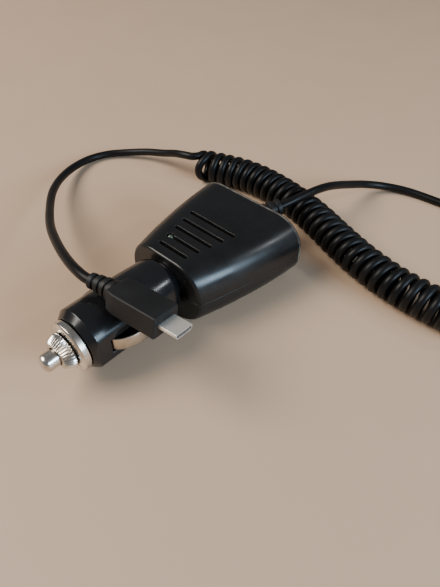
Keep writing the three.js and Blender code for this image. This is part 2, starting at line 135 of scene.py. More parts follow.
# ---- smooth paths ----
def spline(points, step=0.8):
    """Points about a step apart on a centripetal Catmull-Rom curve through the given ones."""
    pts = [Vector(p) for p in points]
    pts = [pts[0] * 2 - pts[1], *pts, pts[-1] * 2 - pts[-2]]
    out = []
    for p0, p1, p2, p3 in zip(pts, pts[1:], pts[2:], pts[3:]):
        t0 = 0.0
        t1 = t0 + max((p1 - p0).length, 1e-6) ** 0.5
        t2 = t1 + max((p2 - p1).length, 1e-6) ** 0.5
        t3 = t2 + max((p3 - p2).length, 1e-6) ** 0.5
        count = max(2, math.ceil((p2 - p1).length / step))
        for i in range(count):
            t = t1 + (t2 - t1) * i / count
            a1 = p0 * ((t1 - t) / (t1 - t0)) + p1 * ((t - t0) / (t1 - t0))
            a2 = p1 * ((t2 - t) / (t2 - t1)) + p2 * ((t - t1) / (t2 - t1))
            a3 = p2 * ((t3 - t) / (t3 - t2)) + p3 * ((t - t2) / (t3 - t2))
            b1 = a1 * ((t2 - t) / (t2 - t0)) + a2 * ((t - t0) / (t2 - t0))
            b2 = a2 * ((t3 - t) / (t3 - t1)) + a3 * ((t - t1) / (t3 - t1))
            out.append(b1 * ((t2 - t) / (t2 - t1)) + b2 * ((t - t1) / (t2 - t1)))
    out.append(pts[-2])
    return out


def lengths(points):
    """Distance along a polyline at each of its points."""
    run = [0.0]
    for a, b in zip(points, points[1:]):
        run.append(run[-1] + (b - a).length)
    return run


def along(points, run, distance):
    """Point and direction at a distance along a polyline."""
    i = 0
    while i < len(run) - 2 and run[i + 1] < distance:
        i += 1
    share = (distance - run[i]) / (run[i + 1] - run[i])
    return points[i].lerp(points[i + 1], share), (points[i + 1] - points[i]).normalized()


# ---- cord ----
CASE_RELIEF_PATH = [
    (at(87.4), 0, AXIS_Z), (at(92.5), 0, AXIS_Z), (at(99.5), -1.4, 13.9), (at(106.2), -4.4, 15.1),
]
CASE_CORD_PATH = [
    (at(92.5), 0, AXIS_Z), (at(99.5), -1.4, 13.9), (60.55, -4.4, 15.1), (65, -6.0, 15.9),
    (70, -7.2, 16.1), (76.5, -8.4, 15.8), (83, -9.1, 14.4), (89.5, -9.8, 12.2),
    (98, -10.8, 8.8), (107, -12.8, 5.4), (114.5, -18, 3.2), (119.6, -26.5, 2.1),
    (121.6, -38, 1.8), (122, -50, 1.8), (119, -63, 1.8), (111, -75, 1.8),
    (99.5, -84, 2.2), (87.5, -89, 4.0), (76.5, -89.6, 7.4), (68, -86.6, 10.7), (63, -84, 11.8),
]
COIL_PATH = [
    (59.6, -83), (58.6, -68), (58.9, -54), (61.6, -40), (66.2, -26), (71.6, -11.5),
    (75.6, 5), (76.9, 20), (75.8, 30), (72.6, 40), (68.8, 49.5),
]
PLUG_CORD_PATH = [
    (66.2, 50.3, 11.45), (65.0, 54.2, 11.15), (64.9, 60, 9.6), (64.8, 67.7, 6.8),
    (62.7, 78.1, 4.2), (58.3, 86.2, 2.6), (51.7, 92.7, 2.0),
    (43.8, 95.5, 2.0), (33.5, 93.6, 3.2), (22.3, 87.3, 5.5), (11.6, 77.4, 8.5),
    (-0.2, 61.2, 13), (-8.9, 46.5, 17.5), (-14.9, 33, 21.5), (-19.5, 20.2, 25),
    (-21.7, 11.5, 27), (-22.2, 5.8, 27.6),
]
INTO_PLUG = (3.5, 0.4)                # how far behind the plug block the route's last points lie


def coil_points():
    """The curly section: a helix round a path on the table, with its last turn pulled loose."""
    axis = spline([(x, y, COIL_Z) for x, y in COIL_PATH])
    run = lengths(axis)
    first_loose, reach = LOOSE_END[0][0], run[-1] - LOOSE_END[0][1]
    whole = round(reach / COIL_PITCH - first_loose)
    steps = round((whole + first_loose) * STEPS_PER_TURN)
    rows = [((whole + first_loose) * i / steps, reach * i / steps, 0.0) for i in range(steps)]
    for turn, back, drawn_in in spline(LOOSE_END, 0.12):
        rows.append((whole + turn, run[-1] - back, drawn_in))
    up = Vector((0, 0, 1))
    out = []
    for turn, distance, drawn_in in rows:
        centre, direction = along(axis, run, distance)
        left = up.cross(direction)
        angle = 2 * math.pi * turn
        outwards = up * math.cos(angle) + left * math.sin(angle)
        out.append(centre + outwards * (COIL_RADIUS - drawn_in))
    return out


def make_cord():
    """The whole cord as one curve: out of the case, through the coil and into the plug."""
    coil = coil_points()
    first = spline([*CASE_CORD_PATH, coil[0], coil[3]])
    into_plug = [behind_plug(back) for back in INTO_PLUG]
    last = spline([coil[-4], coil[-1], *PLUG_CORD_PATH, *into_plug])
    end_of_first = min(range(len(first)), key=lambda i: (first[i] - coil[0]).length)
    start_of_last = min(range(len(last)), key=lambda i: (last[i] - coil[-1]).length)
    points = [*first[:end_of_first], *coil, *last[start_of_last + 1:]]
    curve = bpy.data.curves.new("cord", "CURVE")
    curve.dimensions = "3D"
    curve.bevel_depth = CORD_RADIUS * MM
    curve.bevel_resolution = 4
    curve.use_fill_caps = True
    line = curve.splines.new("POLY")
    line.points.add(len(points) - 1)
    for knot, point in zip(line.points, points):
        knot.co = (*(point * MM), 1)
    line.use_smooth = True
    cord = bpy.data.objects.new("cord", curve)
    bpy.context.scene.collection.objects.link(cord)
    return cord


cord = make_cord()


# ---- mesh helpers ----
def new_piece(name, mesh_builder):
    """An object from a bmesh in millimetres, scaled to metres."""
    bm = bmesh.new()
    mesh_builder(bm)
    bmesh.ops.recalc_face_normals(bm, faces=bm.faces)
    bmesh.ops.scale(bm, vec=(MM, MM, MM), verts=bm.verts)
    mesh = bpy.data.meshes.new(name)
    bm.to_mesh(mesh)
    bm.free()
    piece = bpy.data.objects.new(name, mesh)
    bpy.context.scene.collection.objects.link(piece)
    return piece


def skin(bm, rings, closed=False):
    """Quads between rings of points; the two ends are capped unless the rings close on themselves."""
    rows = [[bm.verts.new(p) for p in ring] for ring in rings]
    count = len(rows[0])
    pairs = list(zip(rows, rows[1:]))
    if closed:
        pairs.append((rows[-1], rows[0]))
    for a, b in pairs:
        for i in range(count):
            j = (i + 1) % count
            bm.faces.new((a[i], a[j], b[j], b[i]))
    if not closed:
        bm.faces.new(rows[0])
        bm.faces.new(list(reversed(rows[-1])))


def revolve(profile, segments, tooth=None):
    """Rings about the plug axis for a closed profile of (station, radius, tooth share)."""
    rings = []
    for i in range(segments):
        angle = 2 * math.pi * i / segments
        ring = []
        for station, radius, *share in profile:
            r = radius + (tooth(i) * share[0] if share else 0)
            ring.append((at(station), r * math.cos(angle), AXIS_Z + r * math.sin(angle)))
        rings.append(ring)
    return rings


def turned(name, profile, segments=96, tooth=None):
    """A piece turned about the plug axis."""
    return new_piece(name, lambda bm: skin(bm, revolve(profile, segments, tooth), closed=True))


def box_piece(name, low, high):
    """A cutter block."""
    def build(bm):
        (x0, y0, z0), (x1, y1, z1) = low, high
        skin(bm, [[(x, y0, z0), (x, y1, z0), (x, y1, z1), (x, y0, z1)] for x in (x0, x1)])
    return new_piece(name, build)


def round_cutter(name, front, rear, radius, segments=64):
    """A cutter cylinder on the plug axis between two stations."""
    rings = []
    for station in (front, rear):
        rings.append([
            (at(station), radius * math.cos(a), AXIS_Z + radius * math.sin(a))
            for a in (2 * math.pi * i / segments for i in range(segments))
        ])
    return new_piece(name, lambda bm: skin(bm, rings))


def stadium_piece(name, x, y0, y1, z0, z1, radius, steps=8):
    """A cutter with round ends that runs along Y."""
    outline = []
    for y, start in ((y1 - radius, 0.0), (y0 + radius, math.pi)):
        for i in range(steps + 1):
            angle = start + math.pi * i / steps
            outline.append((x + radius * math.cos(angle), y + radius * math.sin(angle)))
    rings = [[(px, py, z) for px, py in outline] for z in (z0, z1)]
    return new_piece(name, lambda bm: skin(bm, rings))


def carve(piece, cutters, operation="DIFFERENCE"):
    """Boolean each cutter into the piece, then delete the cutters."""
    for cutter in cutters:
        modifier = piece.modifiers.new("carve", "BOOLEAN")
        modifier.operation = operation
        modifier.solver = "EXACT"
        modifier.object = cutter
        apply_modifiers(piece)
        bpy.data.objects.remove(cutter)
    return piece


def apply_modifiers(piece):
    """Makes the piece's modifiers part of its mesh."""
    graph = bpy.context.evaluated_depsgraph_get()
    mesh = bpy.data.meshes.new_from_object(piece.evaluated_get(graph))
    piece.modifiers.clear()
    old = piece.data
    piece.data = mesh
    bpy.data.meshes.remove(old)


def soften(piece, width, angle=40, segments=3):
    """Rounded edges, then smooth shading that keeps the flat faces flat."""
    bevel = piece.modifiers.new("edges", "BEVEL")
    bevel.width = width * MM
    bevel.segments = segments
    bevel.limit_method = "ANGLE"
    bevel.angle_limit = math.radians(angle)
    bevel.use_clamp_overlap = False
    apply_modifiers(piece)
    smooth(piece)


def smooth(piece, angle=50):
    """Smooth shading that breaks at edges sharper than the angle."""
    mesh = piece.data
    mesh.shade_smooth()
    mesh.set_sharp_from_angle(angle=math.radians(angle))
    weighted = piece.modifiers.new("normals", "WEIGHTED_NORMAL")
    weighted.keep_sharp = True
    weighted.weight = 60
    apply_modifiers(piece)


# ---- case ----
def case_half_width(station):
    """Half the case's width: it widens quickly at first, then runs almost straight."""
    u = CASE_FLARE_REACH * min(max((station - CASE_FRONT) / (CASE_REAR - CASE_FRONT), 0), 1)
    return CASE_FRONT_HALF + (CASE_REAR_HALF - CASE_FRONT_HALF) * (1 - (1 - u) ** CASE_FLARE)


def case_ring(station, inset, x, steps=18):
    """The case's rounded outline as wide as it is at a station, drawn in by inset, at station x."""
    half = case_half_width(station) - inset
    corner = CASE_CORNER - inset
    middle = CASE_HEIGHT / 2
    rise = middle - inset - corner
    ring = []
    for sy, sz, start in ((1, 1, 0), (-1, 1, 1), (-1, -1, 2), (1, -1, 3)):
        for i in range(steps + 1):
            angle = math.pi / 2 * (start + i / steps)
            y = sy * (half - corner) + corner * math.cos(angle)
            z = middle + sz * rise + corner * math.sin(angle)
            ring.append((at(x), y, z))
    return ring


def case_rings(inset, front, rear, edge_front, edge_rear, steps=26):
    """Rings from front to rear, with a rounded edge at each end."""
    rings = []
    bend = 6
    if edge_front:
        for i in range(bend):
            a = math.pi / 2 * i / bend
            rings.append(case_ring(front, inset + edge_front * (1 - math.sin(a)),
                                   front + edge_front * (1 - math.cos(a))))
    start, end = front + edge_front, rear - edge_rear
    for i in range(steps + 1):
        station = start + (end - start) * i / steps
        rings.append(case_ring(station, inset, station))
    if edge_rear:
        for i in range(1, bend + 1):
            a = math.pi / 2 * i / bend
            rings.append(case_ring(rear, inset + edge_rear * (1 - math.cos(a)),
                                   rear - edge_rear * (1 - math.sin(a))))
    return rings


def case_shell(name, low, high, cutters):
    """One half of the case: the hollow skin between two heights, less its openings."""
    outer = case_rings(0, CASE_FRONT, CASE_REAR, CASE_EDGE_FRONT, CASE_EDGE_REAR)
    inner = case_rings(CASE_WALL, CASE_FRONT + CASE_WALL, CASE_REAR - CASE_WALL, 0, 0)
    shell = new_piece(name, lambda bm: skin(bm, outer))
    hollow = new_piece("hollow", lambda bm: skin(bm, inner))
    past_x, past_y = PAST_CASE
    keep = box_piece("keep", (-past_x, -past_y, low), (past_x, past_y, high))
    neck = round_cutter("neck_hole", *NECK_HOLE)
    cord_hole = round_cutter("cord_hole", *CORD_HOLE, 48)
    carve(shell, [hollow, neck, cord_hole, *cutters])
    carve(shell, [keep], "INTERSECT")
    soften(shell, 0.12)
    return shell


def make_case():
    """The upper half with its slots and lamp hole, and the plain lower half."""
    middle = CASE_HEIGHT / 2
    slots = []
    for i in range(SLOT_COUNT):
        half = (SLOT_LENGTH + SLOT_GROWTH * i) / 2
        x = at(SLOT_FIRST + SLOT_PITCH * i)
        slots.append(stadium_piece("slot", x, -half, half, SLOT_FLOOR, SLOT_TOP, SLOT_WIDTH / 2))
    hole = LED_RADIUS + LED_GAP
    slots.append(stadium_piece("lamp_hole", at(LED_STATION), LED_SIDE - hole - LED_HOLE_FLAT,
                               LED_SIDE + hole + LED_HOLE_FLAT, SLOT_FLOOR, SLOT_TOP, hole, steps=16))
    top = case_shell("case_top_shell", middle + SEAM / 2, ABOVE_CASE, slots)
    bottom = case_shell("case_bottom_shell", BELOW_CASE, middle - SEAM / 2, [])
    return top, bottom


# ---- barrel and nose ----
BARREL_PROFILE = [                   # station, radius
    (11.7, 1.0), (11.7, 8.5), (12.0, 8.8), (14.0, BARREL_RADIUS), (30, BARREL_RADIUS),
    (33, 10.37), (36, 10.3), (38.5, 10.21), (41, 10.1), (43, 10.0), (44.5, 9.9), (45.2, 9.76),
    (45.6, 9.6), (45.9, 9.2), (45.9, NECK_RADIUS), (50.1, NECK_RADIUS), (50.1, 8.4), (51.6, 8.4),
    (51.6, 1.0),
]
BARREL_CUTS = [                      # front and rear stations, near and far side, half height
    (11, 35.4, SIDE_FLAT, 14, 8),    # the flat
    (18.2, 36, 4.3, 14, 2.65),       # the long pocket that the side contact folds into
    (35.9, 37.8, 4.3, 8.8, 2.65),    # the contact's foot
    (37.7, 40.9, 5.3, 8.6, 1.35),    # its lead
    (40.8, 52, 5.3, 6.7, 1.35),      # the lead's way to the board
]
RING_PROFILE = [                     # station, radius
    (8.8, 4.9), (8.8, 7.42), (8.84, 7.55), (9.28, 8.25), (9.4, 8.37), (9.55, 8.43),
    (11.1, 8.43), (11.24, 8.38), (11.3, 8.24), (11.3, 4.9),
]
NUT_PROFILE = [                      # station, radius, share of the knurl's depth
    (4.8, 3.1), (4.8, 4.1), (4.85, 4.24, 0.3), (5.1, 4.5, 0.9), (5.5, 4.8, 1.0), (5.9, 5.06, 1.0),
    (6.35, 5.3, 1.0), (6.8, 5.5, 1.0), (7.2, 5.65, 1.0), (7.6, 5.73, 1.0), (8.0, 5.76, 1.0),
    (8.3, 5.75, 1.0), (8.44, 5.62, 0.7), (8.5, 5.4, 0.2), (8.5, 4.6), (16.2, 4.6),
    (16.2, 3.7), (10.5, 3.7), (10.5, 3.1),
]
PIN_SHAFT = [                        # station, radius
    (1.75, PIN_RADIUS), (10.8, PIN_RADIUS), (10.8, 3.4), (12.8, 3.4), (12.8, 2.0), (16.5, 2.0),
    (16.5, PIN_CORE),
]


def make_barrel():
    """The turned barrel with its seat for the brass insert, its bore and both sides' cuts."""
    barrel = turned("barrel_body", BARREL_PROFILE, 144)
    cutters = [round_cutter("seat", *SEAT), round_cutter("bore", *BORE, 40)]
    for side in (-1, 1):
        for front, rear, near, far, half in BARREL_CUTS:
            y0, y1 = sorted((side * near, side * far))
            low, high = (at(front), y0, AXIS_Z - half), (at(rear), y1, AXIS_Z + half)
            cutters.append(box_piece("cut", low, high))
    carve(barrel, cutters)
    soften(barrel, 0.16, angle=25)
    return barrel


def make_nose():
    """The plain ring, the knurled cap and the domed centre pin."""
    ring = turned("plain_ring", RING_PROFILE, 160)
    per_tooth = len(KNURL_WAVE)
    nut = turned("knurled_nut", NUT_PROFILE, KNURL_TEETH * per_tooth,
                 tooth=lambda i: KNURL_WAVE[i % per_tooth])
    tip = [(0.0, PIN_CORE), (0.0, PIN_TIP_FLAT)]
    dome_length, dome_rise = PIN_DOME
    for i in range(1, 8):
        a = math.pi / 2 * i / 8
        tip.append((dome_length * (1 - math.cos(a)), PIN_TIP_FLAT + dome_rise * math.sin(a)))
    pin = turned("centre_pin", [*tip, *PIN_SHAFT], 72)
    for piece in (ring, nut, pin):
        smooth(piece, 35)
    return ring, nut, pin


def make_leaf(name, side):
    """A side contact: a strip bowed outwards, with a slightly crowned face."""
    path = spline([(s, d, 0) for s, d in LEAF_PATH], 0.5)
    rings = []
    across = 8
    for i, p in enumerate(path):
        q0, q1 = path[max(i - 1, 0)], path[min(i + 1, len(path) - 1)]
        direction = (q1 - q0).normalized()
        normal = Vector((-direction.y, direction.x))
        ring = []
        for face, order in ((0.5, range(across + 1)), (-0.5, reversed(range(across + 1)))):
            for j in order:
                v = j / across - 0.5
                crown = LEAF_CROWN * (1 - 4 * v * v)
                offset = normal * (face * LEAF_THICKNESS + crown - LEAF_CROWN / 2)
                ring.append((at(p.x + offset.x), side * (p.y + offset.y), AXIS_Z + v * LEAF_WIDTH))
        rings.append(ring)
    leaf = new_piece(name, lambda bm: skin(bm, rings))
    soften(leaf, 0.09, angle=50, segments=2)
    return leaf


# ---- strain reliefs ----
CASE_COLLAR = [(0, 5.2), (1.8, 5.2), (1.81, 3.7), (4.19, 3.7)]    # distance, radius
CASE_RIBS = (4.2, 19.2, 5, 4.2, 3.1, 0.8)    # start, end, how many, first and last radius, depth
PLUG_RIBS = (0, 10.5, 4, 3.4, 2.5, 0.75)
PLUG_RELIEF_END = (-22.2, 5.6, 27.6)
RIB_SHARE = 0.6                      # a rib's part of the pitch
RIB_SHAPE = [                        # share of a rib's width, how far below its top
    (0, 0.22), (0.04, 0.09), (0.12, 0.01), (0.2, 0), (0.8, 0), (0.88, 0.01), (0.96, 0.09), (1.0, 0.22),
]


def ribbed_profile(start, end, ribs, thick, thin, depth):
    """(distance, radius) pairs for rounded ribs that taper towards the cord."""
    pitch = (end - start) / ribs
    profile = []
    for i in range(ribs):
        begin = start + pitch * i
        radius = thick + (thin - thick) * i / (ribs - 1)
        rib = RIB_SHARE * pitch
        for share, drop in RIB_SHAPE:
            profile.append((begin + share * rib, radius - drop))
        if i < ribs - 1:
            profile.append((begin + rib + 0.01, radius - depth))
            profile.append((begin + pitch - 0.01, radius - depth))
    return profile


def sleeve(name, path_points, profile, sides=48):
    """A round sleeve along a path, with a radius at each distance."""
    path = spline(path_points, 0.4)
    run = lengths(path)
    up = Vector((0, 0, 1))
    rings = []
    for distance, radius in profile:
        centre, direction = along(path, run, min(distance, run[-1]))
        across = up.cross(direction).normalized()
        rise = direction.cross(across)
        rings.append([
            centre + across * (radius * math.cos(a)) + rise * (radius * math.sin(a))
            for a in (2 * math.pi * i / sides for i in range(sides))
        ])
    piece = new_piece(name, lambda bm: skin(bm, rings))
    smooth(piece, 60)
    return piece


# ---- micro-USB plug ----
def plug_ring(x, half, rise, corner, steps=7):
    """A rounded rectangle across the plug, laid where the plug lies."""
    ring = []
    for sy, sz, start in ((1, 1, 0), (-1, 1, 1), (-1, -1, 2), (1, -1, 3)):
        for i in range(steps + 1):
            a = math.pi / 2 * (start + i / steps)
            y = sy * (half - corner) + corner * math.cos(a)
            z = sz * (rise - corner) + corner * math.sin(a)
            ring.append(lay_plug() @ Vector((x, y, z)))
    return ring


PLUG_RINGS = [                       # place along the block, how far in from its side and its top
    (-PLUG_LENGTH, 1.1, 0.6), (-PLUG_LENGTH + 0.12, 0.85, 0.35), (-PLUG_LENGTH + 0.45, 0.62, 0.15),
    (-PLUG_LENGTH + 1.2, 0.4, 0.06), (-PLUG_LENGTH + 2.5, 0.1, 0.0), (-PLUG_LENGTH + 3.5, 0, 0),
    (-0.45, 0, 0), (-0.3, 0.03, 0.03), (-0.12, 0.14, 0.14), (-0.02, 0.3, 0.3), (0, 0.42, 0.42),
]


def make_plug_body():
    """The moulded block, narrower at the cord end and with rounded edges."""
    half, rise = PLUG_WIDTH / 2, PLUG_HEIGHT / 2
    rings = []
    for x, side_in, rise_in in PLUG_RINGS:
        rings.append(plug_ring(x, half - side_in, rise - rise_in, PLUG_CORNER))
    body = new_piece("plug_overmould", lambda bm: skin(bm, rings))
    smooth(body, 40)
    return body


def shell_outline(x, inset):
    """The micro-USB outline: square above, chamfered below, every corner rounded."""
    half, rise = SHELL_WIDTH / 2 - inset, SHELL_HEIGHT / 2 - inset
    foot = half - 0.75
    corners = [(half, -0.1), (half, rise), (-half, rise), (-half, -0.1), (-foot, -rise), (foot, -rise)]
    ring = []
    for i, (y, z) in enumerate(corners):
        here = Vector((y, z))
        before = (Vector(corners[i - 1]) - here).normalized() * SHELL_CORNER
        after = (Vector(corners[(i + 1) % 6]) - here).normalized() * SHELL_CORNER
        for t in (0, 0.25, 0.5, 0.75, 1):
            p = (here + before) * (1 - t) ** 2 + here * (2 * t * (1 - t)) + (here + after) * t ** 2
            ring.append(lay_plug() @ Vector((x, p.x, p.y)))
    return ring


def make_plug_shell():
    """The hollow metal shell, open at its front."""
    rings = [
        shell_outline(-0.6, 0), shell_outline(SHELL_FRONT - 0.06, 0), shell_outline(SHELL_FRONT, 0.05),
        shell_outline(SHELL_FRONT, SHELL_WALL - 0.03), shell_outline(SHELL_FRONT - 0.04, SHELL_WALL),
        shell_outline(-0.3, SHELL_WALL),
    ]
    shell = new_piece("plug_metal_shell", lambda bm: skin(bm, rings))
    smooth(shell, 40)
    return shell


def make_led():
    """The domed lamp, standing on a wider foot inside the case."""
    profile = [
        (18.6, LED_CORE), (18.6, 1.5), (21.2, 1.5), (LED_FOOT_TOP, 1.35), (LED_FOOT_TOP, LED_RADIUS),
        (LED_SHOULDER, LED_RADIUS),
    ]
    for i in range(1, 7):
        a = math.pi / 2 * i / 7
        profile.append((LED_SHOULDER + LED_RADIUS * math.sin(a), LED_RADIUS * math.cos(a)))
    profile.append((LED_SHOULDER + LED_RADIUS, LED_CORE))
    rings = []
    for i in range(32):
        angle = 2 * math.pi * i / 32
        rings.append([
            (at(LED_STATION) + r * math.cos(angle), LED_SIDE + r * math.sin(angle), z)
            for z, r in profile
        ])
    lamp = new_piece("led_lens", lambda bm: skin(bm, rings, closed=True))
    smooth(lamp, 40)
    return lamp


case_top, case_bottom = make_case()
barrel = make_barrel()
nose_ring, nose_nut, centre_pin = make_nose()
leaf_left = make_leaf("leaf_left", 1)
leaf_right = make_leaf("leaf_right", -1)
case_relief = sleeve("case_relief", CASE_RELIEF_PATH, [*CASE_COLLAR, *ribbed_profile(*CASE_RIBS)])
plug_relief = sleeve("plug_relief", [behind_plug(0.05), behind_plug(4.3), PLUG_RELIEF_END],
                     ribbed_profile(*PLUG_RIBS))
plug_body = make_plug_body()
plug_shell = make_plug_shell()
led_lens = make_led()


# ---- materials ----
class Nodes:
    """Short calls for building one node material."""

    def __init__(self, name):
        self.material = bpy.data.materials.new(name)
        self.material.use_nodes = True
        self.tree = self.material.node_tree
        self.bsdf = self.tree.nodes["Principled BSDF"]
        self.place = self.add("ShaderNodeTexCoord").outputs["Object"]

    def add(self, kind, **values):
        node = self.tree.nodes.new(kind)
        for key, value in values.items():
            setattr(node, key, value)
        return node

    def link(self, source, target):
        self.tree.links.new(source, target)

    def noise(self, scale, detail=4.0, stretch=None):
        """Noise whose features are about 1 / scale metres across."""
        place = self.place
        if stretch:
            mapping = self.add("ShaderNodeMapping")
            mapping.inputs["Scale"].default_value = stretch
            self.link(place, mapping.inputs["Vector"])
            place = mapping.outputs["Vector"]
        node = self.add("ShaderNodeTexNoise")
        node.inputs["Scale"].default_value = scale
        node.inputs["Detail"].default_value = detail
        self.link(place, node.inputs["Vector"])
        return node.outputs["Fac"]

    def remap(self, value, low, high, to_low, to_high):
        node = self.add("ShaderNodeMapRange")
        limits = {"From Min": low, "From Max": high, "To Min": to_low, "To Max": to_high}
        for key, number in limits.items():
            node.inputs[key].default_value = number
        self.link(value, node.inputs["Value"])
        return node.outputs["Result"]

    def maths(self, operation, a, b):
        node = self.add("ShaderNodeMath", operation=operation)
        for socket, value in zip(node.inputs, (a, b)):
            if isinstance(value, (int, float)):
                socket.default_value = value
            else:
                self.link(value, socket)
        return node.outputs["Value"]

    def mix(self, share, a, b):
        """Colour between a and b; each is a colour or a socket."""
        node = self.add("ShaderNodeMix", data_type="RGBA")
        self.link(share, node.inputs["Factor"])
        for socket, value in ((node.inputs[6], a), (node.inputs[7], b)):
            if isinstance(value, tuple):
                socket.default_value = (*value, 1)
            else:
                self.link(value, socket)
        return node.outputs[2]

    def near(self, axis, place, inner, outer):
        """1 within an inner distance of a place along one axis, falling to 0 at the outer."""
        split = self.add("ShaderNodeSeparateXYZ")
        self.link(self.place, split.inputs[0])
        away = self.maths("ABSOLUTE", self.maths("SUBTRACT", split.outputs[axis], place * MM), 0)
        return self.remap(away, inner * MM, outer * MM, 1, 0)

    def edges(self, radius):
        """About 1 along sharp edges and 0 elsewhere."""
        bevel = self.add("ShaderNodeBevel", samples=6)
        bevel.inputs["Radius"].default_value = radius
        plain = self.add("ShaderNodeNewGeometry").outputs["Normal"]
        dot = self.add("ShaderNodeVectorMath", operation="DOT_PRODUCT")
        self.link(bevel.outputs["Normal"], dot.inputs[0])
        self.link(plain, dot.inputs[1])
        return self.remap(dot.outputs["Value"], 0.995, 0.9, 0.0, 1.0)

    def recess(self, reach):
        """0 deep in a groove or a mouth, 1 on open faces: the mask for painted shade in hollows."""
        node = self.add("ShaderNodeAmbientOcclusion", samples=8)
        node.inputs["Distance"].default_value = reach
        return self.remap(node.outputs["AO"], 0.3, 0.75, 0.0, 1.0)

    def bump(self, *layers):
        """Stacked bumps, each (height socket, depth in metres)."""
        normal = None
        for height, depth in layers:
            node = self.add("ShaderNodeBump")
            node.inputs["Strength"].default_value = 1.0
            node.inputs["Distance"].default_value = depth
            self.link(height, node.inputs["Height"])
            if normal is not None:
                self.link(normal, node.inputs["Normal"])
            normal = node.outputs["Normal"]
        self.link(normal, self.bsdf.inputs["Normal"])

    def surface(self, colour, roughness, metallic=0.0):
        self.link(colour, self.bsdf.inputs["Base Color"])
        self.link(roughness, self.bsdf.inputs["Roughness"])
        self.bsdf.inputs["Metallic"].default_value = metallic
        return self.material


SCUFF = 0.22                         # how strongly hairlines show on plastic
# near-black painted shade that the metals take in grooves, gaps and mouths
RECESS_SHADE = (0.05, 0.043, 0.036)
DUST = (0.11, 0.105, 0.1)


def scratches(n, scale):
    """Fine hairlines in two directions, as a 0 to 1 mask."""
    a = n.noise(scale, 2.0, (1, 22, 22))
    b = n.noise(scale * 0.8, 2.0, (20, 1.4, 20))
    lines_a = n.remap(a, 0.66, 0.7, 0, 1)
    lines_b = n.remap(b, 0.67, 0.71, 0, 1)
    return n.maths("MAXIMUM", lines_a, lines_b)


def moulded_plastic(name, dark, worn, rough, grain, wear, shine=0.4, rim=None, seam=None):
    """Black moulded plastic with a fine grain, cloudy gloss, hairlines and rubbed edges.

    The rim is the X of the edge that is rubbed most; the seam is the height of a join that isn't.
    """
    n = Nodes(name)
    cloud = n.noise(90)
    fine = n.noise(2600, 3.0)
    hair = n.maths("MULTIPLY", scratches(n, 260), SCUFF)
    edge = n.maths("MULTIPLY", n.edges(0.00045), n.remap(n.noise(420), 0.42, 0.62, 0.15, wear))
    if seam is not None:
        edge = n.maths("MULTIPLY", edge, n.maths("SUBTRACT", 1, n.near("Z", seam, 0.4, 1.2)))
    if rim is not None:
        patches = n.remap(n.noise(300), 0.35, 0.6, 0.25, 1)
        edge = n.maths("MAXIMUM", edge, n.maths("MULTIPLY", n.near("X", rim, 0.22, 0.45), patches))
    colour = n.mix(n.remap(cloud, 0.35, 0.65, 0, 1), dark, tuple(c * 1.35 for c in dark))
    colour = n.mix(edge, colour, worn)
    colour = n.mix(n.maths("MULTIPLY", hair, 0.25), colour, worn)
    base = n.remap(cloud, 0.3, 0.7, rough - 0.05, rough + 0.07)
    base = n.maths("ADD", base, n.maths("MULTIPLY", edge, 0.15))
    base = n.maths("ADD", base, n.maths("MULTIPLY", hair, 0.12))
    n.bump((fine, grain), (hair, 0.000004))
    n.bsdf.inputs["Specular IOR Level"].default_value = shine
    return n.surface(colour, base)


def plated_metal(name, bright, dull, rough, metallic=1.0):
    """Metal plate: fine turning marks, cloudy tarnish, small dark specks and painted shade in the
    grooves and mouths.
    """
    n = Nodes(name)
    tarnish = n.remap(n.noise(230), 0.4, 0.66, 0, 1)
    specks = n.remap(n.noise(1900, 2.0), 0.68, 0.74, 0, 0.6)
    turning = n.noise(900, 3.0, (6, 0.5, 0.5))
    hair = scratches(n, 420)
    colour = n.mix(tarnish, bright, dull)
    colour = n.mix(specks, colour, tuple(c * 0.35 for c in dull))
    edge = n.edges(0.00025)
    colour = n.mix(n.maths("MULTIPLY", edge, 0.5), colour, tuple(min(1, c * 1.15) for c in bright))
    # painted shade: the colour darkens towards near-black where ambient occlusion finds grooves, gaps
    # and mouths
    colour = n.mix(n.recess(0.0012), RECESS_SHADE, colour)
    base = n.remap(tarnish, 0, 1, rough, rough + 0.14)
    base = n.maths("ADD", base, n.maths("MULTIPLY", hair, 0.1))
    n.bump((turning, 0.000006), (hair, 0.000004))
    return n.surface(colour, base, metallic)


def cord_rubber(name, dark, rough, grain, shine):
    """Soft PVC: a faint skin texture, dusty patches and slight gloss changes."""
    n = Nodes(name)
    cloud = n.noise(70)
    dust = n.remap(n.noise(2400, 5.0), 0.6, 0.8, 0, 0.1)
    skin_grain = n.noise(3200, 2.0)
    ripple = n.noise(420, 2.0)
    colour = n.mix(n.remap(cloud, 0.35, 0.65, 0, 1), dark, tuple(c * 1.5 for c in dark))
    colour = n.mix(dust, colour, DUST)
    base = n.remap(cloud, 0.3, 0.7, rough - 0.06, rough + 0.08)
    base = n.maths("ADD", base, n.maths("MULTIPLY", dust, 0.3))
    n.bump((skin_grain, grain), (ripple, 0.00002))
    n.bsdf.inputs["Specular IOR Level"].default_value = shine
    return n.surface(colour, base)


def lamp_plastic(name):
    """Clear epoxy with a faint green tint."""
    n = Nodes(name)
    colour = n.mix(n.noise(600), (0.10, 0.13, 0.10), (0.14, 0.17, 0.13))
    n.bump((n.noise(2000, 2.0), 0.000003))
    n.bsdf.inputs["Transmission Weight"].default_value = 0.35
    return n.surface(colour, n.remap(n.noise(300), 0.3, 0.7, 0.08, 0.16))


def board_laminate(name):
    """Green solder mask over copper traces."""
    n = Nodes(name)
    traces = n.remap(n.noise(260, 1.0, (1, 3, 1)), 0.5, 0.53, 0, 1)
    colour = n.mix(traces, (0.02, 0.10, 0.04), (0.035, 0.17, 0.07))
    n.bump((traces, 0.00002), (n.noise(3000), 0.000004))
    return n.surface(colour, n.remap(n.noise(500), 0.3, 0.7, 0.28, 0.42))


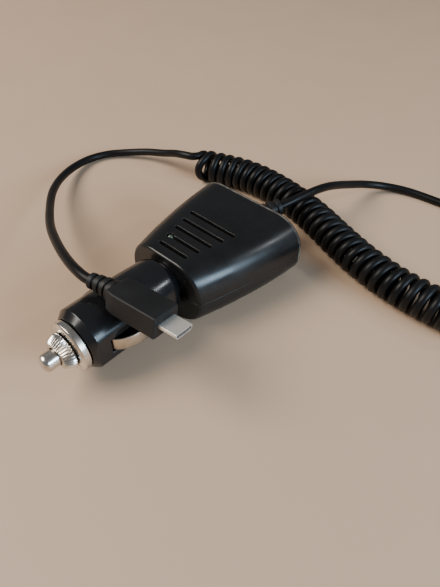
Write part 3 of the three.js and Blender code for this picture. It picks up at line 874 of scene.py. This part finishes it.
def clear_glass(name):
    """Glass tube, slightly uneven."""
    n = Nodes(name)
    colour = n.mix(n.noise(200), (0.9, 0.95, 0.94), (0.97, 0.99, 0.98))
    n.bump((n.noise(400, 2.0), 0.000004))
    n.bsdf.inputs["Transmission Weight"].default_value = 1.0
    return n.surface(colour, n.remap(n.noise(300), 0.3, 0.7, 0.02, 0.06))


case_black = moulded_plastic(
    "case_black", dark=(0.0072, 0.0072, 0.0076), worn=(0.17, 0.15, 0.13), rough=0.29,
    grain=0.000006, wear=0.22, rim=at(CASE_REAR - 0.95), seam=CASE_HEIGHT / 2,
)
barrel_black = moulded_plastic(
    "barrel_black", dark=(0.007, 0.007, 0.008), worn=(0.09, 0.09, 0.09), rough=0.2,
    grain=0.000003, wear=0.45, shine=0.5,
)
nickel = plated_metal(
    "nickel_plate", bright=(0.84, 0.80, 0.74), dull=(0.58, 0.52, 0.44), rough=0.19,
)
shell_nickel = plated_metal(
    "shell_nickel", bright=(0.88, 0.84, 0.78), dull=(0.72, 0.66, 0.58), rough=0.4, metallic=0.7,
)
leaf_nickel = plated_metal(
    "leaf_nickel", bright=(0.64, 0.57, 0.48), dull=(0.50, 0.42, 0.33), rough=0.28,
)
brass = plated_metal(
    "bare_brass", bright=(0.72, 0.55, 0.27), dull=(0.45, 0.31, 0.14), rough=0.3,
)
cord_black = cord_rubber(
    "cord_black", dark=(0.0048, 0.0048, 0.0052), rough=0.4, grain=0.000006, shine=0.2,
)
plug_black = cord_rubber(
    "plug_black", dark=(0.0085, 0.0085, 0.009), rough=0.5, grain=0.000012, shine=0.3,
)
lamp_clear = lamp_plastic("lamp_clear")
laminate = board_laminate("board_laminate")
glass = clear_glass("fuse_glass_clear")
component_black = moulded_plastic(
    "component_black", dark=(0.02, 0.02, 0.021), worn=(0.08, 0.08, 0.08), rough=0.5,
    grain=0.00001, wear=0.2,
)


def paint(piece, material, slot):
    """Gives a piece its material; the slot that it stands for is not used."""
    piece.data.materials.clear()
    piece.data.materials.append(material)


for piece, material, slot, body, nodes in (
    (case_top, case_black, "black_case", "charger_body", ["case_top"]),
    (case_bottom, case_black, "black_case", "charger_body", ["case_bottom"]),
    (barrel, barrel_black, "black_barrel", "charger_body", ["barrel"]),
    (nose_ring, nickel, "nickel", "nose_ring", ["nose_ring"]),
    (nose_nut, nickel, "nickel", "nose_nut", ["nose_nut"]),
    (centre_pin, nickel, "nickel", "plunger", ["contact_pin"]),
    (leaf_left, leaf_nickel, "nickel", "side_contact_left", ["side_contact_left"]),
    (leaf_right, leaf_nickel, "nickel", "side_contact_right", ["side_contact_right"]),
    (case_relief, plug_black, "plug_rubber", "charger_body", ["case_strain_relief"]),
    (plug_relief, plug_black, "plug_rubber", "charger_body", ["plug_strain_relief"]),
    (plug_body, plug_black, "plug_rubber", "charger_body", ["plug_body"]),
    (plug_shell, shell_nickel, "nickel", "charger_body", ["plug_shell"]),
    (led_lens, lamp_clear, "led_clear", "charger_body", ["led"]),
    (cord, cord_black, "cord_rubber", "charger_body", ["case_cord", "curly_cord", "plug_cord"]),
):
    paint(piece, material, slot)
    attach(piece, body)
    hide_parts(*nodes)

for node, material in {
    "threaded_insert": brass, "spring_seat": brass,
    "contact_lead_left": brass, "contact_lead_right": brass,
    "fuse_cap_front": nickel, "fuse_cap_rear": nickel, "contact_spring": nickel,
    "fuse_glass": glass, "circuit_board": laminate,
    "converter_chip": component_black, "inductor": component_black,
    "capacitor_in": component_black, "capacitor_out": component_black,
    "diode": component_black, "plug_tongue": component_black,
}.items():
    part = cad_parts[node]
    part.data.materials.clear()
    part.data.materials.append(material)

tuple(Vector(CASE_CORD_PATH[0]) * MM)


# ---- floor and light ----
FLOOR_HALF = 2500
FLOOR_DARK, FLOOR_PALE = (0.57, 0.40, 0.275), (0.60, 0.425, 0.295)
WORLD_COLOUR, WORLD_STRENGTH = (0.92, 0.95, 1.0, 1), 0.16
LIGHTS = [                           # name, place, target, width, height in metres, power, colour
    ("window", (0.07, -0.85, 0.37), (0.01, 0, 0.01), 0.4, 0.24, 8, (0.6, 0.8, 1.0)),
    ("lamp", (0.46, -0.56, 0.52), (0.01, 0, 0.01), 0.05, 0.05, 0.8, (0.93, 0.97, 1.0)),
    ("room", (-0.55, 0.6, 0.85), (0.02, 0, 0), 0.8, 0.6, 17, (1.0, 0.93, 0.84)),
]


def make_floor():
    """A wide plain floor in a pale wood tone."""
    floor = new_piece("floor", lambda bm: bmesh.ops.create_grid(
        bm, x_segments=8, y_segments=8, size=FLOOR_HALF))
    n = Nodes("pale_floor")
    colour = n.mix(n.noise(12), FLOOR_DARK, FLOOR_PALE)
    n.bump((n.noise(900), 0.00002))
    floor.data.materials.append(n.surface(colour, n.remap(n.noise(40), 0.3, 0.7, 0.5, 0.62)))


def area_light(name, place, target, width, height, power, colour):
    """A soft rectangular light that faces a target."""
    data = bpy.data.lights.new(name, "AREA")
    data.shape = "RECTANGLE"
    data.size, data.size_y = width, height
    data.energy = power
    data.color = colour
    light = bpy.data.objects.new(name, data)
    bpy.context.scene.collection.objects.link(light)
    light.location = place
    light.rotation_mode = "QUATERNION"
    light.rotation_quaternion = (Vector(target) - Vector(place)).to_track_quat("-Z", "Y")


def make_light():
    """A dim even sky, a low window, a small lamp and a warm room light from behind."""
    world = bpy.data.worlds.new("soft_room")
    bpy.context.scene.world = world
    world.use_nodes = True
    background = world.node_tree.nodes["Background"]
    background.inputs["Color"].default_value = WORLD_COLOUR
    background.inputs["Strength"].default_value = WORLD_STRENGTH
    for light in LIGHTS:
        area_light(*light)


make_floor()
make_light()
